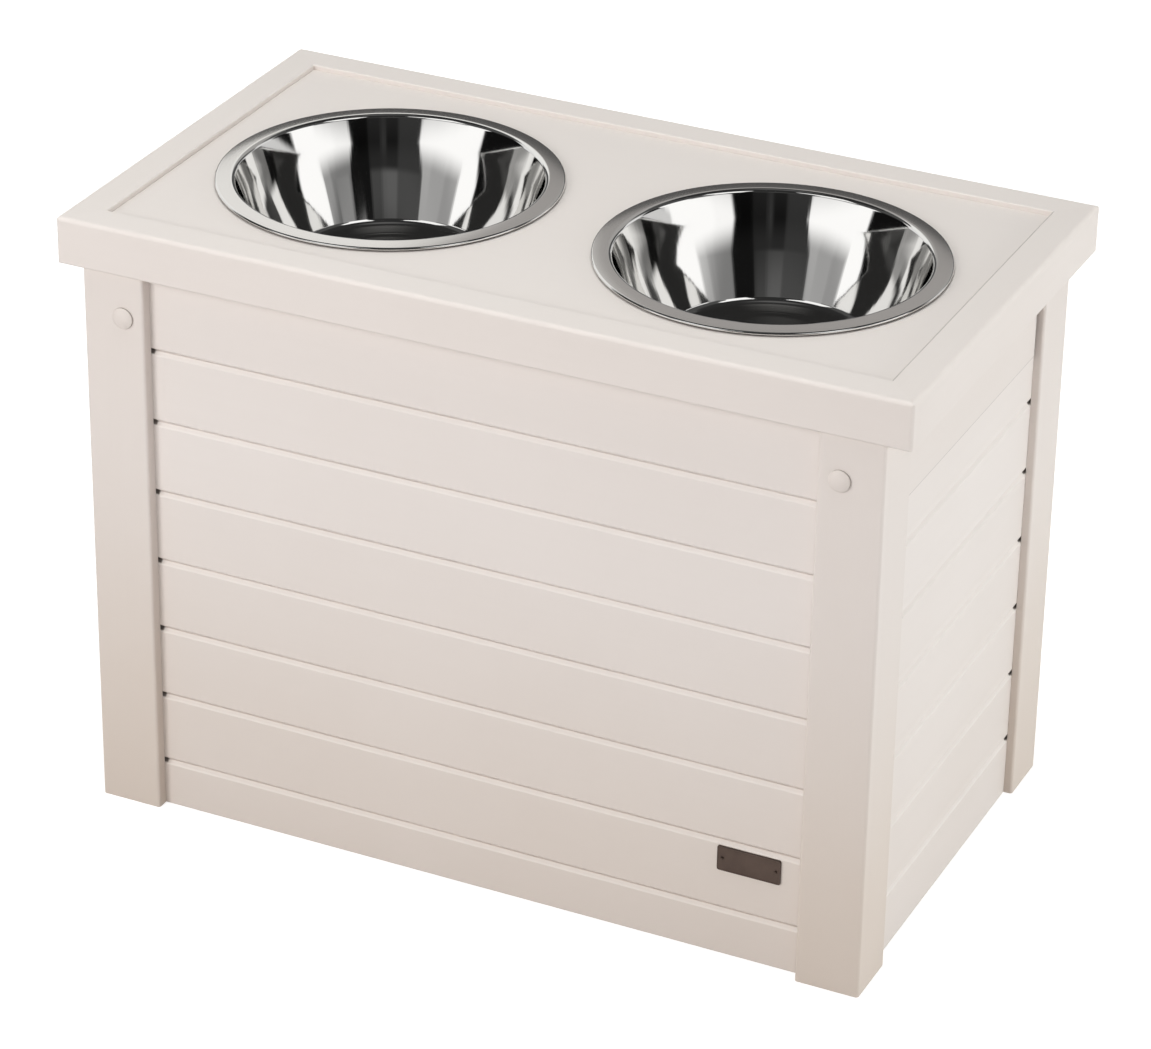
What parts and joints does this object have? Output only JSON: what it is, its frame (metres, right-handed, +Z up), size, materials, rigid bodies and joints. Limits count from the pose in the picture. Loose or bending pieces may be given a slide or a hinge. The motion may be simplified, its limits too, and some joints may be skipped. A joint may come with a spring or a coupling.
{
  "type": "elevated dog feeder with storage",
  "caption": "Raised feeding box on four posts with tongue-and-groove board walls, a rear-hinged lid over a storage space and lift-out steel bowls in the lid.",
  "frame": {"origin": "on the floor, under the middle of the object's box", "axes": "+X to the right as seen from the front, +Y to the back where the hinges are, +Z up"},
  "size_m": [0.59, 0.332, 0.4275],
  "materials": {
    "painted_wood": "warm off-white satin paint over softwood",
    "cap": "satin off-white",
    "bare_wood": "bare, sanded",
    "stainless": "polished inside, fine satin on the rim",
    "hinge_plate": "zinc plated",
    "screw_steel": "zinc plated",
    "bolt_steel": "zinc plated, dull"
  },
  "bodies": {
    "cabinet": {"post_front_left": "painted_wood", "post_front_right": "painted_wood", "post_back_left": "painted_wood", "post_back_right": "painted_wood", "side_beam_left": "painted_wood", "side_beam_right": "painted_wood", "front_board_1": "painted_wood", "front_board_2": "painted_wood", "front_board_3": "painted_wood", "front_board_4": "painted_wood", "front_board_5": "painted_wood", "front_board_6": "painted_wood", "front_board_7": "painted_wood", "front_board_8": "painted_wood", "back_board_1": "painted_wood", "back_board_2": "painted_wood", "back_board_3": "painted_wood", "back_board_4": "painted_wood", "back_board_5": "painted_wood", "back_board_6": "painted_wood", "back_board_7": "painted_wood", "back_board_8": "painted_wood", "left_board_1": "painted_wood", "left_board_2": "painted_wood", "left_board_3": "painted_wood", "left_board_4": "painted_wood", "left_board_5": "painted_wood", "left_board_6": "painted_wood", "left_board_7": "painted_wood", "right_board_1": "painted_wood", "right_board_2": "painted_wood", "right_board_3": "painted_wood", "right_board_4": "painted_wood", "right_board_5": "painted_wood", "right_board_6": "painted_wood", "right_board_7": "painted_wood", "floor_panel": "bare_wood", "floor_cleat_front": "bare_wood", "floor_cleat_back": "bare_wood", "cleat_screws": "screw_steel", "beam_bolts": "bolt_steel", "barrel_nuts": "bolt_steel", "bolt_caps": "cap", "post_leaf_left": "hinge_plate", "post_leaf_right": "hinge_plate", "hinge_pin_left": "screw_steel", "hinge_pin_right": "screw_steel", "post_leaf_screws": "screw_steel"},
    "lid": {"lid_leaf_left": "hinge_plate", "lid_leaf_right": "hinge_plate", "lid_leaf_screws": "screw_steel", "lid_front_rail": "painted_wood", "lid_back_rail": "painted_wood", "lid_left_rail": "painted_wood", "lid_right_rail": "painted_wood", "lid_panel": "painted_wood"},
    "bowl_left": {"bowl_left": "stainless"},
    "bowl_right": {"bowl_right": "stainless"}
  },
  "joints": [
    {"name": "lid_hinge", "type": "hinge", "parent": "cabinet", "child": "lid", "pos_m": [0, 0.16315, 0.395], "axis": [-1, 0, 0], "range_deg": [0, 100]},
    {"name": "bowl_left_lift", "type": "slide", "parent": "lid", "child": "bowl_left", "axis": [0, 0, 1], "range_m": [0, 0.08]},
    {"name": "bowl_right_lift", "type": "slide", "parent": "lid", "child": "bowl_right", "axis": [0, 0, 1], "range_m": [0, 0.08]}
  ]
}
